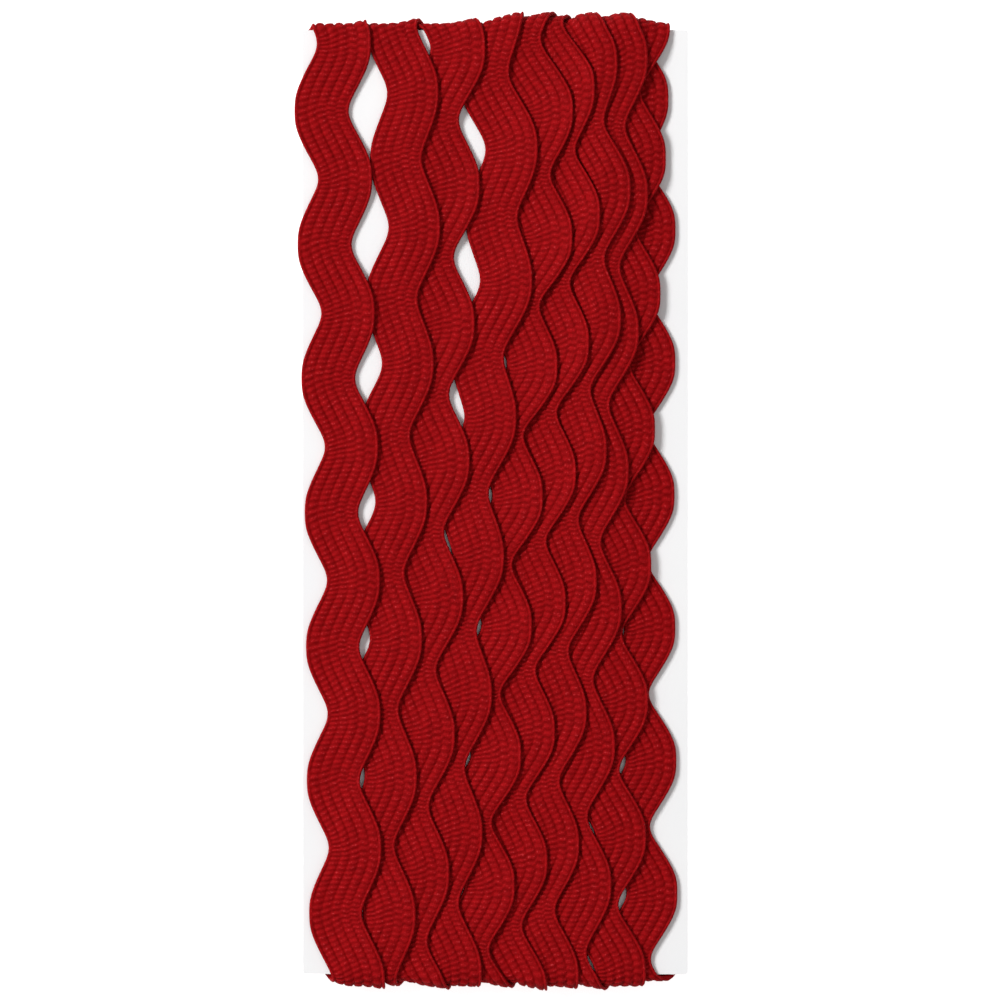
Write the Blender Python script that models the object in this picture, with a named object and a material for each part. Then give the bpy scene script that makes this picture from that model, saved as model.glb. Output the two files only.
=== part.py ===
"""Ric rac wound on a card, lying on its back.

One 2.3 m length of 6 mm wavy braid goes ten times lengthwise round a white card. It starts at the
card's right side and each turn lies a little further left, partly on the turns wound before it.

X runs across the card, Y up the card and Z out of its face. The origin is at the middle of the
underside, where the back of the winding rests on a table.
"""

import math
from collections import namedtuple

import bmesh
import bpy
import numpy as np
from mathutils import Vector

MM = 0.001

# Card
CARD_WIDTH = 45.3 * MM
CARD_HEIGHT = 111.0 * MM
CARD_THICKNESS = 0.8 * MM
CARD_CORNER_RADIUS = 0.3 * MM

# Braid
BRAID_LENGTH = 2300.0 * MM
BRAID_WIDTH = 6.0 * MM
EDGE_THICKNESS = 0.3 * MM
MIDDLE_THICKNESS = 0.6 * MM
WAVE_LENGTH = 15.6 * MM
WAVE_POINTEDNESS = 0.02

# Winding
CARD_GAP = 0.33 * MM
LAYER_GAP = 0.12 * MM
START_BEFORE_FOOT = 12.0 * MM
DRAWN_IN_BELOW = 9.0 * MM
DRAWN_IN_SHIFT = -17.8 * MM
TAIL_SHIFT = -17.4 * MM
FACE_STEPS = 44
EDGE_STEPS = 5

# The back is thickest at one corner, so the roll leans a little and lies on that corner and on the two
# far from it. This is the way down to the table from the card, before the roll is set level on it.
WAY_DOWN = Vector((-0.00958, -0.01070, -1.0)).normalized()
PRESSED_DEPTH = 0.24 * MM

# A row for each turn, in the order of winding. Top, neck, middle and foot say where the middle of the
# braid lies across the card's face, in mm: at its top edge, at the neck height, half way and at its
# foot. The crest is the height of one wave that swings furthest right. The swing is half the waves'
# width.
Turn = namedtuple("Turn", "top neck middle foot crest swing")
TURNS = [
    Turn(top=15.1, neck=16.5, middle=16.5, foot=16.9, crest=103.2, swing=1.57),
    Turn(top=15.9, neck=15.3, middle=13.9, foot=13.1, crest=111.8, swing=1.61),
    Turn(top=13.5, neck=13.6, middle=11.1, foot=9.3, crest=107.6, swing=1.35),
    Turn(top=9.6, neck=11.6, middle=8.3, foot=5.5, crest=107.4, swing=1.29),
    Turn(top=6.5, neck=8.0, middle=4.8, foot=1.7, crest=104.2, swing=1.47),
    Turn(top=3.8, neck=5.0, middle=1.1, foot=-2.1, crest=101.6, swing=1.48),
    Turn(top=-0.7, neck=1.4, middle=-2.7, foot=-5.9, crest=96.8, swing=0.90),
    Turn(top=-5.7, neck=-6.1, middle=-7.6, foot=-9.7, crest=108.9, swing=1.35),
    Turn(top=-11.1, neck=-10.8, middle=-12.2, foot=-13.5, crest=103.8, swing=1.13),
    Turn(top=-19.0, neck=-18.9, middle=-18.0, foot=-17.3, crest=109.0, swing=1.23),
]
NECK_HEIGHT = 92.5 * MM

# The winding laid out flat goes up the face, over the top edge, down the back and under the foot.
EDGE_LENGTH = math.pi * (CARD_THICKNESS / 2 + CARD_GAP + MIDDLE_THICKNESS)
HALF_TURN = CARD_HEIGHT + EDGE_LENGTH
TURN_STEPS = 2 * (FACE_STEPS + EDGE_STEPS)

# What lies under the braid is kept as heights in narrow lanes across the card, and is felt at places
# across the braid that reach a little past its edges. Place 0 is its left edge and 1 its right.
LANE_WIDTH = 0.25 * MM
LANES = np.arange(-104, 105) * LANE_WIDTH
MARGIN = 0.04
PLACES = np.linspace(-MARGIN, 1 + MARGIN, 28)
SECTION = (0.0, 0.5, 1.0)
THICKNESS = np.array((EDGE_THICKNESS, MIDDLE_THICKNESS, EDGE_THICKNESS))
DRAPING_ROUNDS = 20
CREASE_ANGLE = math.radians(50)

RED_BRAID = (0.28, 0.004, 0.006, 1.0)
WHITE_BOARD = (0.90, 0.90, 0.90, 1.0)


def material(name, colour, roughness):
    made = bpy.data.materials.new(name)
    made.use_nodes = True
    shader = made.node_tree.nodes["Principled BSDF"]
    shader.inputs["Base Color"].default_value = colour
    shader.inputs["Roughness"].default_value = roughness
    shader.inputs["Metallic"].default_value = 0.0
    made.diffuse_color = colour
    return made


def named_object(name, mesh_in_progress, finish):
    mesh = bpy.data.meshes.new(name)
    mesh_in_progress.to_mesh(mesh)
    mesh_in_progress.free()
    mesh.materials.append(finish)
    made = bpy.data.objects.new(name, mesh)
    bpy.context.scene.collection.objects.link(made)
    return made


def middle_line_knots():
    """(along, across) points of the winding's middle line, with its two hidden ends."""
    knots = [(-EDGE_LENGTH - START_BEFORE_FOOT, TURNS[0].foot * MM)]
    for number, turn in enumerate(TURNS):
        start = number * 2 * HALF_TURN
        knots += [
            (start, turn.foot * MM),
            (start + CARD_HEIGHT / 2, turn.middle * MM),
            (start + NECK_HEIGHT, turn.neck * MM),
            (start + CARD_HEIGHT, turn.top * MM),
            (start + HALF_TURN, turn.top * MM),
        ]
    # The last turn draws in on the back, so that nothing of it shows past the card.
    return knots + [
        (start + HALF_TURN + DRAWN_IN_BELOW, DRAWN_IN_SHIFT),
        (start + 2 * HALF_TURN, TAIL_SHIFT),
    ]


def smooth_between(knots, along):
    """The value at a place on a smooth curve through the knots."""
    index = 0
    while index < len(knots) - 2 and along > knots[index + 1][0]:
        index += 1
    (start, low), (end, high) = knots[index], knots[index + 1]
    slopes = []
    for middle in (index, index + 1):
        before = knots[max(middle - 1, 0)]
        after = knots[min(middle + 1, len(knots) - 1)]
        slopes.append((after[1] - before[1]) / (after[0] - before[0]) * (end - start))
    t = (along - start) / (end - start)
    return (
        low * (2 * t**3 - 3 * t**2 + 1)
        + slopes[0] * (t**3 - 2 * t**2 + t)
        + high * (3 * t**2 - 2 * t**3)
        + slopes[1] * (t**3 - t**2)
    )


def wave_knots():
    """(along, waves so far) at each turn's crest, in whole waves so that every crest falls in place."""
    knots = [(TURNS[0].crest * MM, 0)]
    for number, turn in enumerate(TURNS[1:], start=1):
        crest = number * 2 * HALF_TURN + turn.crest * MM
        knots.append((crest, knots[-1][1] + round((crest - knots[-1][0]) / WAVE_LENGTH)))
    first, last = knots[0], knots[-1]
    reach = 20 * WAVE_LENGTH
    return [(first[0] - reach, first[1] - 20), *knots, (last[0] + reach, last[1] + 20)]


def braid_middle(along, middles, waves):
    """The braid's own wavy middle line. Its waves are a little straighter between crests than a sine."""
    phase = 2 * math.pi * np.interp(along, *zip(*waves))
    wave = (math.cos(phase) + WAVE_POINTEDNESS * math.cos(3 * phase)) / (1 + WAVE_POINTEDNESS)
    crests = [number * 2 * HALF_TURN + turn.crest * MM for number, turn in enumerate(TURNS)]
    swing = np.interp(along, crests, [turn.swing * MM for turn in TURNS])
    return smooth_between(middles, along) + swing * wave


def station_place(station):
    """How far along the winding a numbered station lies. Station 0 is at the first turn's foot."""
    half_turns, step = divmod(station, FACE_STEPS + EDGE_STEPS)
    on_face = min(step, FACE_STEPS) / FACE_STEPS * CARD_HEIGHT
    past_face = max(step - FACE_STEPS, 0) / EDGE_STEPS * EDGE_LENGTH
    return half_turns * HALF_TURN + on_face + past_face


def braid_edges():
    """Where the braid's left and right edge pass each station, as {station: (left, right)}."""
    middles, waves = middle_line_knots(), wave_knots()
    start = middles[0][0]
    nudge = 0.1 * MM
    edges = {}
    for station in range(-TURN_STEPS, len(TURNS) * TURN_STEPS):
        along = station_place(station)
        if start <= along <= start + BRAID_LENGTH:
            middle = braid_middle(along, middles, waves)
            slope = (braid_middle(along + nudge, middles, waves) - middle) / nudge
            half = BRAID_WIDTH / 2 * math.hypot(1.0, slope)
            edges[station] = (middle - half, middle + half)
    return edges


def felt_under(station, edges, tops):
    """Heights of what lies under a station, at places across the braid."""
    left, right = edges[station]
    below = tops.get(station - TURN_STEPS)
    return 0 * PLACES if below is None else np.interp(left + (right - left) * PLACES, LANES, below)


def draped(ground):
    """Heights of the left edge, middle and right edge, lifted where the braid would sink in deepest."""
    parts = np.array([np.interp(PLACES, SECTION, part) for part in np.eye(len(SECTION))])
    heights = np.zeros(len(SECTION))
    for _ in range(DRAPING_ROUNDS):
        sunk = ground - heights @ parts
        part = parts[:, sunk.argmax()]
        heights += max(sunk.max(), 0) * part / (part @ part)
    return heights + max((ground - heights @ parts).max(), 0)


def draped_heights(edges):
    """The braid's heights above the card's face at every station, each turn on the ones before it."""
    heights, tops = {}, {}
    for station, (left, right) in edges.items():
        near = [near for near in (station - 1, station, station + 1) if near in edges]
        heights[station] = draped(np.max([felt_under(each, edges, tops) for each in near], axis=0))
        place = (LANES - left) / (right - left)
        top = np.interp(place, SECTION, heights[station] + THICKNESS + LAYER_GAP)
        top[(place < -MARGIN) | (place > 1 + MARGIN)] = 0
        tops[station] = np.maximum(tops.get(station - TURN_STEPS, 0 * LANES), top)
    return heights


def folded(station, across, height):
    """A point of the flat layout, that height above the card, wrapped on to its face, edge or back."""
    half_turns, step = divmod(station, FACE_STEPS + EDGE_STEPS)
    along = station_place(step)
    reach = CARD_THICKNESS / 2 + CARD_GAP + height
    angle = math.pi * max(along - CARD_HEIGHT, 0.0) / EDGE_LENGTH
    y = min(along, CARD_HEIGHT) - CARD_HEIGHT / 2 + reach * math.sin(angle)
    z = reach * math.cos(angle)
    side = -1 if half_turns % 2 else 1
    return across, side * y, side * z


def ric_rac(finish):
    """The braid as one ribbon: a straight strip, thickened, and then laid along its way round the card."""
    edges = braid_edges()
    heights = draped_heights(edges)
    stations = list(edges)
    columns, rows = len(SECTION) - 1, len(stations) - 1
    mesh = bmesh.new()
    bmesh.ops.create_grid(mesh, x_segments=columns, y_segments=rows, size=0.5)
    copied = bmesh.ops.extrude_face_region(mesh, geom=mesh.faces[:], use_keep_orig=True)["geom"]
    upper = [item for item in copied if isinstance(item, bmesh.types.BMVert)]
    bmesh.ops.translate(mesh, vec=(0.0, 0.0, 1.0), verts=upper)
    for vertex in mesh.verts:
        column = round((vertex.co.x + 0.5) * columns)
        station = stations[round((vertex.co.y + 0.5) * rows)]
        left, right = edges[station]
        across = left + (right - left) * SECTION[column]
        height = heights[station][column] + THICKNESS[column] * vertex.co.z
        vertex.co = folded(station, across, height)
    press_flat(mesh)
    return named_object("ric_rac", mesh, finish)


def press_flat(mesh):
    """Levels the lowest ridges of the back, which the roll lies on."""
    lowest = max((vertex.co.copy() for vertex in mesh.verts), key=WAY_DOWN.dot)
    cut = bmesh.ops.bisect_plane(
        mesh,
        geom=mesh.verts[:] + mesh.edges[:] + mesh.faces[:],
        plane_co=lowest - PRESSED_DEPTH * WAY_DOWN,
        plane_no=WAY_DOWN,
        clear_outer=True,
    )
    rim = [item for item in cut["geom_cut"] if isinstance(item, bmesh.types.BMEdge)]
    bmesh.ops.edgeloop_fill(mesh, edges=rim)
    bmesh.ops.recalc_face_normals(mesh, faces=mesh.faces)


def card(finish):
    """The board that the braid is wound on."""
    mesh = bmesh.new()
    bmesh.ops.create_cube(mesh, size=1.0)
    bmesh.ops.scale(mesh, vec=(CARD_WIDTH, CARD_HEIGHT, CARD_THICKNESS), verts=mesh.verts)
    upright = [
        edge
        for edge in mesh.edges
        if abs(edge.verts[0].co.z - edge.verts[1].co.z) > CARD_THICKNESS / 2
    ]
    bmesh.ops.bevel(
        mesh,
        geom=upright,
        offset=CARD_CORNER_RADIUS,
        segments=3,
        profile=0.5,
        affect="EDGES",
    )
    return named_object("card", mesh, finish)


def centre_on_table(objects):
    """Lays them down level and puts the origin at the middle of their underside."""
    level = WAY_DOWN.rotation_difference(Vector((0.0, 0.0, -1.0)))
    for made in objects:
        made.data.transform(level.to_matrix().to_4x4())
    corners = [Vector(vertex.co) for made in objects for vertex in made.data.vertices]
    low = Vector([min(corner[axis] for corner in corners) for axis in range(3)])
    high = Vector([max(corner[axis] for corner in corners) for axis in range(3)])
    middle = (low + high) / 2
    for made in objects:
        made.location = (-middle.x, -middle.y, -low.z)


def main():
    for old in list(bpy.data.objects):
        bpy.data.objects.remove(old)
    board = card(material("white_board", WHITE_BOARD, 0.6))
    braid = ric_rac(material("red_braid", RED_BRAID, 0.75))
    braid.data.shade_smooth()
    braid.data.set_sharp_from_angle(angle=CREASE_ANGLE)
    centre_on_table([board, braid])


main()
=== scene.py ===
"""The finish of the ric rac on its card, for one picture from straight above.

The card keeps its own solid and gets the look of white board. The red braid is laid again over its
solid, turn by turn, with its woven ribs, its cross rows of yarn and its two rounded edges.
"""

import math
from collections import namedtuple

import bmesh
import bpy
import numpy as np
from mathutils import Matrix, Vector


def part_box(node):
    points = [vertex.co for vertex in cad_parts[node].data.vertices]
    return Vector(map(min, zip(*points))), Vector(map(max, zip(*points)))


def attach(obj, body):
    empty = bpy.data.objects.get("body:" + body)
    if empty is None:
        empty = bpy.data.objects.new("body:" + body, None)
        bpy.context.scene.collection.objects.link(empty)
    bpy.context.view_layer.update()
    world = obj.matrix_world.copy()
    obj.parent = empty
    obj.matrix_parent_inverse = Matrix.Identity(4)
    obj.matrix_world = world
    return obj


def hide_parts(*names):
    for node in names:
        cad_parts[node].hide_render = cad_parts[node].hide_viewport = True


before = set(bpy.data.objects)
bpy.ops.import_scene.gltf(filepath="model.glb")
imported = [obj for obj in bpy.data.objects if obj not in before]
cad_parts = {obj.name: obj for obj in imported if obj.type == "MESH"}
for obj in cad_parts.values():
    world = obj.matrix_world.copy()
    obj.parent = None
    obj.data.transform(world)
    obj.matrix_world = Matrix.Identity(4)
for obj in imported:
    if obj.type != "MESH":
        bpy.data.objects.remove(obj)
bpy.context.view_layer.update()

MM = 0.001

# Card
CARD_HEIGHT = 111.0 * MM
CARD_THICKNESS = 0.8 * MM
WAY_DOWN = Vector((-0.00958, -0.01070, -1.0)).normalized()

# Braid, as it lies along the winding. Places along it count from the first turn's foot.
BRAID_LENGTH = 2300.0 * MM
BRAID_WIDTH = 6.0 * MM
MIDDLE_LINE_HIGH = 0.3 * MM
WAVE_LENGTH = 15.6 * MM
WAVE_POINTEDNESS = 0.02
EDGE_LENGTH = 4.18 * MM
HALF_TURN = CARD_HEIGHT + EDGE_LENGTH
START_BEFORE_FOOT = 12.0 * MM
BRAID_START = -EDGE_LENGTH - START_BEFORE_FOOT
BRAID_END = BRAID_START + BRAID_LENGTH
DRAWN_IN_SHIFT = -17.9 * MM
TAIL_SHIFT = -17.4 * MM
NECK_HEIGHT = 92.5 * MM

# A row for each turn, in the order of winding: where the braid's middle lies across the face at its
# top edge, neck height, half way and foot, the height of one crest, half the waves' width, and the
# braid's own width, in mm. The last four turns are pressed a little wider than the others.
Turn = namedtuple("Turn", "top neck middle foot crest swing width", defaults=[BRAID_WIDTH / MM])
TURNS = [
    Turn(top=15.1, neck=16.5, middle=16.5, foot=16.9, crest=103.2, swing=1.57),
    Turn(top=15.9, neck=15.3, middle=13.9, foot=13.1, crest=111.8, swing=1.61),
    Turn(top=13.5, neck=13.6, middle=11.1, foot=9.3, crest=107.6, swing=1.35),
    Turn(top=9.6, neck=11.6, middle=8.3, foot=5.5, crest=107.4, swing=1.29),
    Turn(top=6.5, neck=8.0, middle=4.8, foot=1.7, crest=104.2, swing=1.47),
    Turn(top=3.8, neck=5.0, middle=1.1, foot=-2.1, crest=101.6, swing=1.48),
    Turn(top=-0.9, neck=0.9, middle=-2.7, foot=-5.9, crest=97.3, swing=1.15, width=6.2),
    Turn(top=-5.7, neck=-6.4, middle=-7.7, foot=-9.7, crest=108.6, swing=1.40, width=6.5),
    Turn(top=-11.1, neck=-10.5, middle=-12.2, foot=-13.5, crest=103.8, swing=1.13, width=6.1),
    Turn(top=-19.0, neck=-18.9, middle=-18.0, foot=-17.3, crest=109.3, swing=1.30, width=6.4),
]

# Draping: stations along a turn, places across the braid, and lanes across the card
FACE_STATIONS = 176
EDGE_STATIONS = 12
TURN_STATIONS = 2 * (FACE_STATIONS + EDGE_STATIONS)
PLACES = np.linspace(-1.0, 1.0, 17)
LANE_SPACING = 0.15 * MM
LANES = np.arange(-180, 181) * LANE_SPACING
CARD_CLEARANCE = 0.13 * MM
LAYER_PITCH = 0.62 * MM
RIM_PITCH = 0.45 * MM
RIM_SHARE = 0.12
STIFFNESS_ROUNDS = 16
FOLD_PULL = 0.25 * MM

# Weave: lengthwise ribs of short slanting stitches between two rounded edges. The stitches of
# neighbouring ribs are half a stitch apart, as bricks are. The rises are what a stitch climbs from the
# left to the right side of its rib, a rib at a time from the left, in stitches. The rib points are
# (share of the rib's width, height in mm). The rows wander up and down by a share of a stitch.
RISES = (0.35, 0.40, 0.35, -0.10, -0.30)
RIBS = len(RISES)
RIB_FIELD = 2.62
RIB_POINTS = ((0.20, 0.53), (0.50, 0.56), (0.80, 0.53))
GROOVE_HIGH = 0.51
GROOVE_STITCH = 0.4
STAGGER = 0.5
STITCH_PITCH = 0.65 * MM
ROW_PITCH = STITCH_PITCH / 4
ROWS_AT_MOST = 16000
UNEVENNESS = 0.018 * MM
WANDER = 0.10
WANDER_LENGTH = 9.0 * MM
WANDER_ACROSS = 1.7
ROW_BEND = 0.5

# Each pair is the value on the waves' crests and the value on their flanks, which count as steep from
# the slope given. The grooves are as deep in the folds over the card's edges as on the flanks.
STEEPEST = 0.5
STITCH_RELIEF = (0.0715 * MM, 0.0385 * MM)
GROOVE_DEPTH = (0.03 * MM, 0.15 * MM)
# The last two pairs set how much shade is painted into the valleys between the stitches and into the
# grooves between the ribs.
PAINTED_VALLEY_SHADE = (0.80, 0.50)
PAINTED_GROOVE_SHADE = (0.20, 0.70)

# Colours
STITCH_RED = (0.342, 0.0045, 0.0068, 1)
# The red that the painted shade darkens to, in the grooves, between the stitches, along the edges and
# beneath.
PAINTED_SHADE_RED = (0.152, 0.0002, 0.0004, 1)
# The lighter red of the painted glints, highlights on the stitches' backs.
PAINTED_GLINT_RED = (0.62, 0.075, 0.085, 1)
SHEEN_RED = (1.0, 0.12, 0.12, 1)
BOARD_WHITES = ((0.86, 0.86, 0.87, 1), (0.91, 0.91, 0.91, 1))
TABLE_GREY = (0.60, 0.60, 0.60, 1)
WHITE = (1.0, 1.0, 1.0, 1)

# The loop of points round the braid, from its left edge over the top to the right edge and back
# beneath. Across and high are in mm; stitch is how much of the stitches shows there, shift is how far
# up they are moved, in stitches, and the last is how deep the place lies, which sets the shade painted
# on it; the grooves, at 1, are also sunk.
Point = namedtuple("Point", "across high stitch shift hollow")


def section():
    """Rounded ribs with a groove at each side of them, two rounded edges and a plain underside."""
    rib = 2 * RIB_FIELD / RIBS
    top = [Point(-RIB_FIELD, GROOVE_HIGH, GROOVE_STITCH, -RISES[0] / 2, 1.0)]
    for number, rise in enumerate(RISES):
        start = -RIB_FIELD + number * rib
        for share, high in RIB_POINTS:
            shift = STAGGER * number + rise * (share - 0.5)
            top.append(Point(start + rib * share, high, 1.0, shift, 0.0))
        after = RISES[min(number + 1, RIBS - 1)]
        shift = STAGGER * (number + 0.5) + (rise - after) / 4
        top.append(Point(start + rib, GROOVE_HIGH, GROOVE_STITCH, shift, 1.0))
    # The edges and the underside have shade painted on them as well, most at the outer rim and beneath.
    edge = [
        Point(2.73, 0.50, 0.2, 0.25, 0.4),
        Point(2.85, 0.55, 0.4, 0.25, 0.1),
        Point(2.96, 0.44, 0.3, 0.25, 0.2),
        Point(3.00, 0.26, 0.0, 0.0, 0.6),
    ]
    left = [point._replace(across=-point.across) for point in reversed(edge)]
    under = [Point(across, 0.0, 0.0, 0.0, 0.6) for across in (2.80, 0.0, -2.80)]
    return left + top + edge + under


def middle_line_knots():
    """(along, across) points of the winding's middle line, with its two hidden ends."""
    knots = [(BRAID_START, TURNS[0].foot * MM)]
    for number, turn in enumerate(TURNS):
        start = number * 2 * HALF_TURN
        knots += [
            (start, turn.foot * MM),
            (start + CARD_HEIGHT / 2, turn.middle * MM),
            (start + NECK_HEIGHT, turn.neck * MM),
            (start + CARD_HEIGHT, turn.top * MM),
            (start + HALF_TURN, turn.top * MM),
        ]
    knots[-1] = (start + HALF_TURN, DRAWN_IN_SHIFT)
    knots.append((start + 2 * HALF_TURN, TAIL_SHIFT))
    return np.array(knots)


def smooth_between(knots, along):
    """Values at places on a smooth curve through the knots."""
    starts, values = knots[:, 0], knots[:, 1]
    index = np.clip(np.searchsorted(starts, along) - 1, 0, len(knots) - 2)
    before, after = np.maximum(index - 1, 0), np.minimum(index + 2, len(knots) - 1)
    length = starts[index + 1] - starts[index]
    leave = (values[index + 1] - values[before]) / (starts[index + 1] - starts[before]) * length
    arrive = (values[after] - values[index]) / (starts[after] - starts[index]) * length
    t = (along - starts[index]) / length
    return (
        values[index] * (2 * t**3 - 3 * t**2 + 1)
        + leave * (t**3 - 2 * t**2 + t)
        + values[index + 1] * (3 * t**2 - 2 * t**3)
        + arrive * (t**3 - t**2)
    )


def wave_knots():
    """(along, waves so far) at each turn's crest, in whole waves."""
    knots = [(TURNS[0].crest * MM, 0)]
    for number, turn in enumerate(TURNS[1:], start=1):
        crest = number * 2 * HALF_TURN + turn.crest * MM
        knots.append((crest, knots[-1][1] + round((crest - knots[-1][0]) / WAVE_LENGTH)))
    first, last = knots[0], knots[-1]
    reach = 20 * WAVE_LENGTH
    return np.array([(first[0] - reach, first[1] - 20), *knots, (last[0] + reach, last[1] + 20)])


MIDDLE_KNOTS = middle_line_knots()
WAVE_KNOTS = wave_knots()
CRESTS = [number * 2 * HALF_TURN + turn.crest * MM for number, turn in enumerate(TURNS)]
UNEVEN = np.random.default_rng(5).normal(0.0, UNEVENNESS, (ROWS_AT_MOST, len(section())))


def braid_middle(along):
    """The braid's wavy middle line, across the card."""
    phase = 2 * math.pi * np.interp(along, WAVE_KNOTS[:, 0], WAVE_KNOTS[:, 1])
    wave = (np.cos(phase) + WAVE_POINTEDNESS * np.cos(3 * phase)) / (1 + WAVE_POINTEDNESS)
    swing = np.interp(along, CRESTS, [turn.swing * MM for turn in TURNS])
    return smooth_between(MIDDLE_KNOTS, along) + swing * wave


def braid_width(along):
    """The braid's own width, straight across it."""
    return np.interp(along, CRESTS, [turn.width * MM for turn in TURNS])


def braid_slope(along):
    """How far the middle line moves across for each step along."""
    nudge = 0.1 * MM
    return (braid_middle(along + nudge) - braid_middle(along - nudge)) / (2 * nudge)


def station_place(station):
    """How far along the winding a numbered station lies. Station 0 is at the first turn's foot."""
    half_turns, step = np.divmod(station, FACE_STATIONS + EDGE_STATIONS)
    on_face = np.minimum(step, FACE_STATIONS) / FACE_STATIONS * CARD_HEIGHT
    past_face = np.maximum(step - FACE_STATIONS, 0) / EDGE_STATIONS * EDGE_LENGTH
    return half_turns * HALF_TURN + on_face + past_face


def softened(heights):
    """One round of the braid's own stiffness along and across it."""
    along = np.pad(heights, ((1, 1), (0, 0)), mode="edge")
    heights = (along[:-2] + 2 * heights + along[2:]) / 4
    across = np.pad(heights, ((0, 0), (1, 1)), mode="edge")
    return (across[:, :-2] + 2 * heights + across[:, 2:]) / 4


def draped_heights(stations, along):
    """The braid's heights over the card at every station and place, each turn on those before it."""
    middle = braid_middle(along)
    half = braid_width(along) / 2 * np.hypot(1.0, braid_slope(along))
    heights = np.zeros((len(stations), len(PLACES)))
    tops = np.zeros((TURN_STATIONS, len(LANES)))
    rim = np.clip((1 - abs(PLACES)) / RIM_SHARE, 0, 1)
    pitch = RIM_PITCH + (LAYER_PITCH - RIM_PITCH) * rim
    for turn in range(-1, len(TURNS)):
        rows = np.flatnonzero(stations // TURN_STATIONS == turn)
        if not len(rows):
            continue
        spots = stations[rows] % TURN_STATIONS
        across = middle[rows, None] + half[rows, None] * PLACES[None, :]
        ground = np.array([np.interp(x, LANES, tops[spot]) for x, spot in zip(across, spots)])
        around = np.pad(ground, ((1, 1), (0, 0)), mode="edge")
        ground = np.maximum(np.maximum(around[:-2], ground), around[2:])
        lying = ground.copy()
        if rows[0]:
            lying = np.vstack([heights[rows[0] - 1], lying])
        for _ in range(STIFFNESS_ROUNDS):
            softer = softened(lying)
            if rows[0]:
                lying[1:] = np.maximum(ground, softer[1:])
            else:
                lying = np.maximum(ground, softer)
        heights[rows] = lying[-len(rows):]
        for row, spot, x in zip(rows, spots, across):
            wider = x + np.sign(PLACES) * (abs(PLACES) == 1) * LANE_SPACING
            top = np.interp(LANES, wider, heights[row] + pitch, left=0.0, right=0.0)
            tops[spot] = np.maximum(tops[spot], top)
    return heights


def folded(along, across, height):
    """Points of the flat layout wrapped on to the card's face, edge or back, from the card's centre."""
    half_turns = np.floor(along / HALF_TURN)
    on_way = along - half_turns * HALF_TURN
    reach = CARD_THICKNESS / 2 + CARD_CLEARANCE + height
    angle = math.pi * np.maximum(on_way - CARD_HEIGHT, 0.0) / EDGE_LENGTH
    y = np.minimum(on_way, CARD_HEIGHT) - CARD_HEIGHT / 2 + (reach - FOLD_PULL) * np.sin(angle)
    z = reach * np.cos(angle)
    side = np.where(half_turns % 2 == 0, 1.0, -1.0)
    return np.stack([across, side * y, side * z], axis=-1)


def laid_braid():
    """What every row of the braid needs: its place along, and the drape's heights to look up."""
    stations = np.arange(-TURN_STATIONS, len(TURNS) * TURN_STATIONS)
    along = station_place(stations)
    kept = (along >= BRAID_START - 2 * MM) & (along <= BRAID_END + 2 * MM)
    stations, along = stations[kept], along[kept]
    heights = draped_heights(stations, along)
    line = folded(along, braid_middle(along), heights[:, len(PLACES) // 2] + MIDDLE_LINE_HIGH)
    walked = np.concatenate([[0.0], np.cumsum(np.linalg.norm(np.diff(line, axis=0), axis=1))])
    return along, heights, walked


STATION_ALONG, STATION_HEIGHTS, STATION_WALKED = laid_braid()
CARD_LOW, CARD_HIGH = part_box("card")
CARD_CENTRE = np.array((CARD_LOW + CARD_HIGH) / 2)
LEVEL = np.array(WAY_DOWN.rotation_difference(Vector((0.0, 0.0, -1.0))).to_matrix())


def height_at(along, place):
    """The drape's height at places between its stations."""
    row = np.interp(along, STATION_ALONG, np.arange(len(STATION_ALONG)))
    column = np.clip((place + 1) / 2, 0, 1) * (len(PLACES) - 1)
    top_row = np.clip(row.astype(int), 0, len(STATION_ALONG) - 2)
    left = np.clip(column.astype(int), 0, len(PLACES) - 2)
    up, over = row - top_row, column - left
    return (
        STATION_HEIGHTS[top_row, left] * (1 - up) * (1 - over)
        + STATION_HEIGHTS[top_row + 1, left] * up * (1 - over)
        + STATION_HEIGHTS[top_row, left + 1] * (1 - up) * over
        + STATION_HEIGHTS[top_row + 1, left + 1] * up * over
    )


def between(pair, share):
    return pair[0] + (pair[1] - pair[0]) * share


def fold_share(along):
    """1 where the braid goes over an edge of the card, falling to 0 where it is well on a face."""
    folds = (along + EDGE_LENGTH / 2) / HALF_TURN
    distance = abs(folds - np.rint(folds)) * HALF_TURN
    return np.clip(2 - 2 * distance / EDGE_LENGTH, 0, 1)


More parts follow.
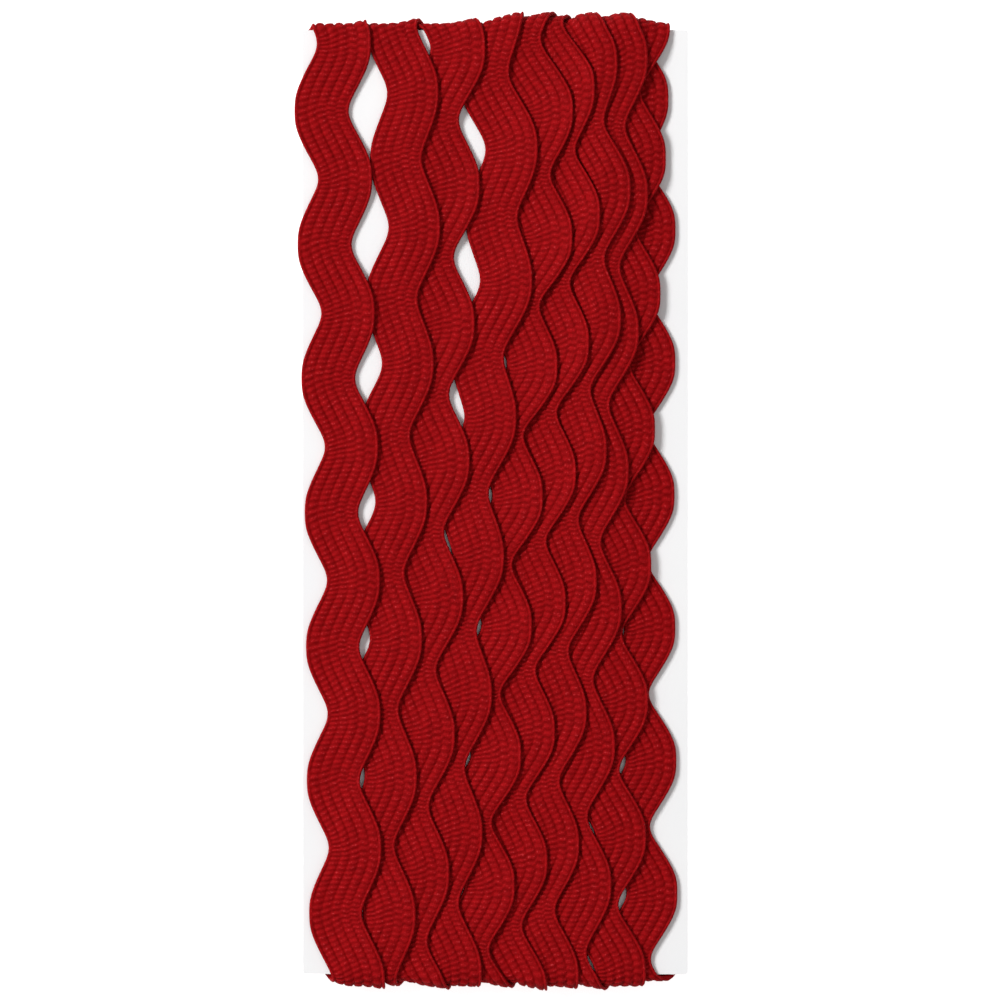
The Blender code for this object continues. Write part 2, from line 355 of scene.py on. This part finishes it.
def braid_points(rows):
    """Points of a run of woven rows, how much shade is painted on each, and its place along and across.
    """
    across, high, stitch, shift, hollow = np.array(section()).T
    across, high = across * MM, high * MM
    walked = rows[:, None] * ROW_PITCH + 0 * across
    wander = walked / WANDER_LENGTH + across / BRAID_WIDTH * WANDER_ACROSS
    wander = WANDER * np.sin(2 * math.pi * wander)
    wave = np.cos(2 * math.pi * (walked / STITCH_PITCH - shift + wander))
    along = np.interp(walked, STATION_WALKED, STATION_ALONG)
    along = along - ROW_BEND * across * braid_slope(along)
    along = np.clip(along, BRAID_START, BRAID_END)
    slope = braid_slope(along)
    width = braid_width(along) / BRAID_WIDTH * np.hypot(1.0, slope)
    side = braid_middle(along) + across * width
    steep = np.clip(abs(slope) / STEEPEST, 0, 1)
    sunk = (hollow >= 1.0) * between(GROOVE_DEPTH, np.maximum(steep, fold_share(along)))
    relief = between(STITCH_RELIEF, steep) * wave * stitch
    uneven = UNEVEN[rows.astype(int) % ROWS_AT_MOST] * stitch
    height = height_at(along, across / (BRAID_WIDTH / 2)) + high - sunk + relief + uneven
    points = folded(along, side, height) @ LEVEL.T + CARD_CENTRE
    points[..., 2] = np.maximum(points[..., 2], 0.0)
    # Painted shade: darker in the grooves between the ribs, in the valleys between the stitches and
    # along the edges; the grooves get more and the valleys less on the flanks.
    valley = (0.5 - 0.5 * wave) * stitch
    painted_shade = hollow * between(PAINTED_GROOVE_SHADE, steep) + valley * between(PAINTED_VALLEY_SHADE, steep)
    return points, np.clip(painted_shade, 0, 1), walked, across + 0 * walked


def braid_turn(name, first_row, last_row, finish):
    """One turn of the braid: a strip of woven rows closed into a flat tube and capped at both ends."""
    rows = np.arange(first_row, last_row + 1, dtype=float)
    points, painted_shade, walked, across = braid_points(rows)
    columns = points.shape[1]
    mesh = bmesh.new()
    bmesh.ops.create_grid(mesh, x_segments=columns, y_segments=len(rows) - 1, size=0.5)
    data = bpy.data.meshes.new(name)
    mesh.to_mesh(data)
    mesh.free()
    flat = np.empty(len(data.vertices) * 3)
    data.vertices.foreach_get("co", flat)
    flat = flat.reshape(-1, 3)
    column = np.rint((flat[:, 0] + 0.5) * columns).astype(int) % columns
    row = np.rint((flat[:, 1] + 0.5) * (len(rows) - 1)).astype(int)
    data.vertices.foreach_set("co", points[row, column].ravel())
    # The first attribute carries the painted shade to the yarn's material.
    for word, values in (("hollow", painted_shade), ("walked", walked), ("across", across)):
        data.attributes.new(word, "FLOAT", "POINT").data.foreach_set("value", values[row, column])
    mesh = bmesh.new()
    mesh.from_mesh(data)
    bmesh.ops.remove_doubles(mesh, verts=mesh.verts[:], dist=1e-7)
    rims = [edge for edge in mesh.edges if edge.is_boundary]
    bmesh.ops.holes_fill(mesh, edges=rims, sides=0)
    for edge in rims:
        edge.smooth = False
    for face in mesh.faces:
        face.smooth = True
    bmesh.ops.recalc_face_normals(mesh, faces=mesh.faces[:])
    mesh.to_mesh(data)
    mesh.free()
    data.materials.append(finish)
    made = bpy.data.objects.new(name, data)
    bpy.context.scene.collection.objects.link(made)
    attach(made, "root")
    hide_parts("ric_rac")
    return made


def node(tree, kind, **values):
    """A new shader node with its settings."""
    made = tree.nodes.new(kind)
    for key, value in values.items():
        setattr(made, key, value)
    return made


def mixed(tree, factor, low, high, blend="MIX"):
    """A colour between two, each a colour or a socket."""
    made = node(tree, "ShaderNodeMix", data_type="RGBA", blend_type=blend)
    sockets = {socket.identifier: socket for socket in made.inputs}
    for key, value in (("Factor_Float", factor), ("A_Color", low), ("B_Color", high)):
        if isinstance(value, bpy.types.NodeSocket):
            tree.links.new(value, sockets[key])
        else:
            sockets[key].default_value = value
    return next(socket for socket in made.outputs if socket.identifier == "Result_Color")


def maths(tree, operation, first, second=0.0, third=0.0):
    """The result of a maths node on numbers or sockets."""
    made = node(tree, "ShaderNodeMath", operation=operation)
    for socket, value in zip(made.inputs, (first, second, third)):
        if isinstance(value, bpy.types.NodeSocket):
            tree.links.new(value, socket)
        else:
            socket.default_value = value
    return made.outputs[0]


def spread(tree, value, low, high, start=0.0, end=1.0):
    """A value spread from the range low to high on to the range start to end."""
    made = node(tree, "ShaderNodeMapRange", clamp=True)
    for socket, number in zip(made.inputs, (value, low, high, start, end)):
        if isinstance(number, bpy.types.NodeSocket):
            tree.links.new(number, socket)
        else:
            socket.default_value = number
    return made.outputs[0]


def noise(tree, where, scale, detail, dimensions="3D"):
    """A noise texture's value at a place."""
    made = node(tree, "ShaderNodeTexNoise", noise_dimensions=dimensions)
    made.inputs["Scale"].default_value = scale
    made.inputs["Detail"].default_value = detail
    tree.links.new(where, made.inputs["Vector"])
    return made.outputs["Fac"]


def bumps(tree, shader, height, strength, distance):
    """Fine relief on a shader."""
    made = node(tree, "ShaderNodeBump")
    made.inputs["Strength"].default_value = strength
    made.inputs["Distance"].default_value = distance
    tree.links.new(height, made.inputs["Height"])
    tree.links.new(made.outputs[0], shader.inputs["Normal"])


def fresh(name, roughness, specular):
    """A new material with its node tree and its shader."""
    made = bpy.data.materials.new(name)
    made.use_nodes = True
    shader = made.node_tree.nodes["Principled BSDF"]
    shader.inputs["Roughness"].default_value = roughness
    shader.inputs["Specular IOR Level"].default_value = specular
    return made, made.node_tree, shader


def red_yarn():
    """Matt red yarn: its own red on the stitches' backs, painted shade between the ribs and rows, and
    painted glints.
    """
    made, tree, shader = fresh("red_yarn", 0.72, 0.03)
    hollow, walked, across = [
        node(tree, "ShaderNodeAttribute", attribute_name=word).outputs["Fac"]
        for word in ("hollow", "walked", "across")
    ]
    on_braid = node(tree, "ShaderNodeCombineXYZ")
    tree.links.new(maths(tree, "MULTIPLY", across, 1 / MM), on_braid.inputs[0])
    tree.links.new(maths(tree, "MULTIPLY", walked, 1 / MM), on_braid.inputs[1])
    where = node(tree, "ShaderNodeTexCoord").outputs["Object"]
    stitches = noise(tree, on_braid.outputs[0], 1.3, 2.0, dimensions="2D")
    fibres = noise(tree, where, 9000.0, 2.0)
    flecks_and_glints = noise(tree, where, 5200.0, 1.0)
    # Painted shade: the red darkens in the grooves, between the stitches, along the edges and beneath.
    colour = mixed(tree, spread(tree, hollow, 0.0, 0.85), STITCH_RED, PAINTED_SHADE_RED)
    shade = spread(tree, stitches, 0.3, 0.7, 0.88, 1.10)
    speckle = spread(tree, flecks_and_glints, 0.35, 0.7, 0.88, 1.14)
    shade = maths(tree, "MULTIPLY", shade, speckle)
    tint = node(tree, "ShaderNodeCombineXYZ")
    for axis in range(3):
        tree.links.new(shade, tint.inputs[axis])
    colour = mixed(tree, 1.0, colour, tint.outputs[0], "MULTIPLY")
    # Painted highlights: glints of lighter red on the stitches' backs, where little shade is painted.
    # The same noise also gives the yarn's random speckle above.
    painted_glints = spread(tree, flecks_and_glints, 0.60, 0.78, 0.0, 0.55)
    on_backs = spread(tree, hollow, 0.0, 0.35, 1.0, 0.0)
    colour = mixed(tree, maths(tree, "MULTIPLY", painted_glints, on_backs), colour, PAINTED_GLINT_RED)
    tree.links.new(colour, shader.inputs["Base Color"])
    shader.inputs["Sheen Weight"].default_value = 0.04
    shader.inputs["Sheen Roughness"].default_value = 0.5
    shader.inputs["Sheen Tint"].default_value = SHEEN_RED
    bumps(tree, shader, fibres, strength=0.5, distance=0.06 * MM)
    return made


def white_board():
    """Uncoated white board with a faint paper grain."""
    made, tree, shader = fresh("white_paper_board", 0.65, 0.3)
    where = node(tree, "ShaderNodeTexCoord").outputs["Object"]
    grain = noise(tree, where, 900.0, 4.0)
    clouds = noise(tree, where, 60.0, 2.0)
    tree.links.new(mixed(tree, clouds, *BOARD_WHITES), shader.inputs["Base Color"])
    bumps(tree, shader, grain, strength=0.25, distance=0.03 * MM)
    return made


def table():
    """A plain pale surface under the roll."""
    mesh = bmesh.new()
    bmesh.ops.create_grid(mesh, x_segments=1, y_segments=1, size=1.5)
    data = bpy.data.meshes.new("table")
    mesh.to_mesh(data)
    mesh.free()
    made, _, shader = fresh("pale_table", 0.9, 0.1)
    shader.inputs["Base Color"].default_value = TABLE_GREY
    shader.inputs["Emission Color"].default_value = WHITE
    shader.inputs["Emission Strength"].default_value = 0.80
    data.materials.append(made)
    floor = bpy.data.objects.new("table", data)
    floor.location.z = -0.2 * MM
    bpy.context.scene.collection.objects.link(floor)


def soft_light(name, place, size, watts):
    """A square lamp that shines on the origin."""
    data = bpy.data.lights.new(name, "AREA")
    data.shape = "SQUARE"
    data.size = size
    data.energy = watts
    made = bpy.data.objects.new(name, data)
    made.location = place
    made.rotation_euler = (-Vector(place)).to_track_quat("-Z", "Y").to_euler()
    bpy.context.scene.collection.objects.link(made)


def camera():
    """Straight down on the card, 117.6 mm wide at the height of its face."""
    data = bpy.data.cameras.new("camera")
    data.sensor_width = 36.0
    data.lens = 183.6
    data.dof.use_dof = False
    data.clip_start = 0.01
    made = bpy.data.objects.new("camera", data)
    made.location = CARD_CENTRE + np.array((0.55 * MM, 0.3 * MM, 600.0 * MM))
    bpy.context.scene.collection.objects.link(made)
    bpy.context.scene.camera = made


def dress():
    """Lay the braid's ten turns, cut from one another in the folds at the foot, and finish the card."""
    yarn = red_yarn()
    cuts = [2 * HALF_TURN * number - EDGE_LENGTH / 2 for number in range(1, len(TURNS))]
    walked = np.interp([BRAID_START, *cuts, BRAID_END], STATION_ALONG, STATION_WALKED)
    cuts = np.rint(walked / ROW_PITCH).astype(int)
    for number, (first, last) in enumerate(zip(cuts, cuts[1:]), start=1):
        braid_turn(f"ric_rac_turn_{number}", first, last, yarn)
    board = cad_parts["card"]
    board.data.materials.clear()
    board.data.materials.append(white_board())


def light_up():
    """A window at the upper left, a weak fill from above, and a pale room."""
    soft_light("window", (-0.62, 0.34, 0.70), 0.30, 9.0)
    soft_light("fill", (0.3, -0.2, 1.0), 0.9, 1.4)
    world = bpy.context.scene.world or bpy.data.worlds.new("room")
    bpy.context.scene.world = world
    world.use_nodes = True
    sky = world.node_tree.nodes["Background"]
    sky.inputs["Color"].default_value = WHITE
    sky.inputs["Strength"].default_value = 0.33
    bpy.context.scene.view_settings.view_transform = "Standard"


dress()
table()
light_up()
camera()
